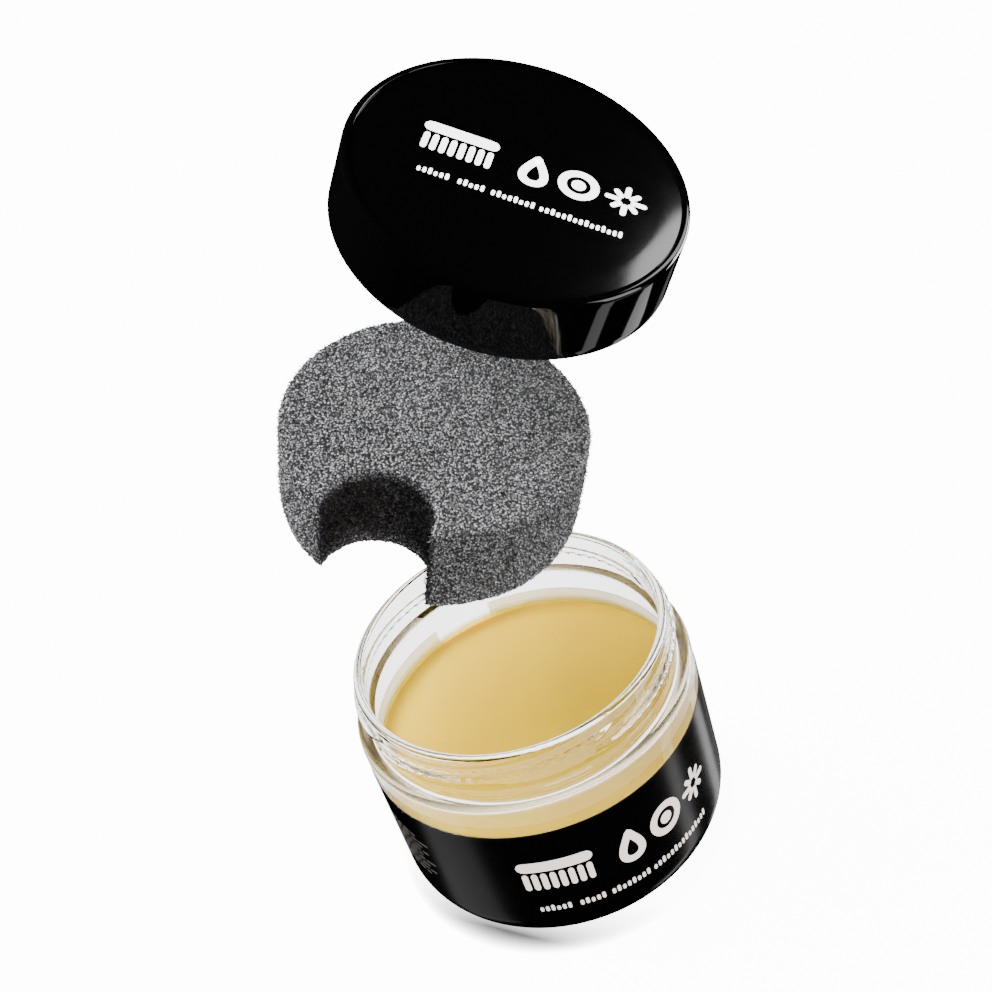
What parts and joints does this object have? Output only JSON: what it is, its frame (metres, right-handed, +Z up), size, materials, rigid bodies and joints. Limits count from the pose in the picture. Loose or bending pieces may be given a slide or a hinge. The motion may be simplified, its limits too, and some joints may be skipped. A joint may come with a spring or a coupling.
{
  "type": "screw-top wax jar with applicator sponge",
  "caption": "Open clear screw-top jar of honey-coloured wax with a black label, its notched foam sponge and black threaded lid hanging above it",
  "frame": {"origin": "centre of the jar's flat base", "axes": "+Z up along the jar's axis; +Y away from the side that the pieces are shown from; +X to the right from there"},
  "size_m": [0.0976, 0.1156, 0.1427],
  "materials": {
    "clear_plastic": "clear polished PET, glossy",
    "wax": "soft honey-coloured wax, satin",
    "print_film": "black printed film, satin",
    "lid_plastic": "black polished plastic, high gloss",
    "liner_foam": "white closed-cell foam, matt",
    "milky_film": "milky soft plastic, satin",
    "sponge_foam": "dark grey open-cell foam, matt"
  },
  "bodies": {
    "jar": {"jar_body": "clear_plastic", "wax": "wax", "jar_label": "print_film"},
    "seal": {"seal_disc": "milky_film"},
    "liner": {"lid_liner": "liner_foam"},
    "lid": {"lid_shell": "lid_plastic", "lid_label": "print_film"},
    "sponge": {"sponge": "sponge_foam"}
  },
  "joints": [
    {"name": "lid_carry", "type": "hinge", "parent": "jar", "child": "seal", "pos_m": [0.10394, -0.03138, 0.08704], "axis": [-0.337, -0.6733, 0.6581], "range_deg": [0, 41.96]},
    {"name": "lid_rise", "type": "slide", "parent": "seal", "child": "liner", "axis": [0.3933, -0.3389, 0.8547], "range_m": [-0.00903, 0]},
    {"name": "lid_turn", "type": "hinge", "parent": "liner", "child": "lid", "pos_m": [0.03095, 0.04245, 0.1252], "axis": [0.3933, -0.3389, 0.8547], "range_deg": [-250, 0]},
    {"name": "sponge_carry", "type": "hinge", "parent": "jar", "child": "sponge", "pos_m": [0.1035, -0.05552, 0.0904], "axis": [-0.5334, -0.8059, 0.2567], "range_deg": [0, 22.59], "deforming": ["sponge"]}
  ],
  "couplings": [
    {"joint": "lid_rise", "follows": "lid_turn", "m_per_rad": 0.002069},
    {"joint": "sponge_carry", "follows": "lid_carry", "ratio": 0.53844}
  ]
}
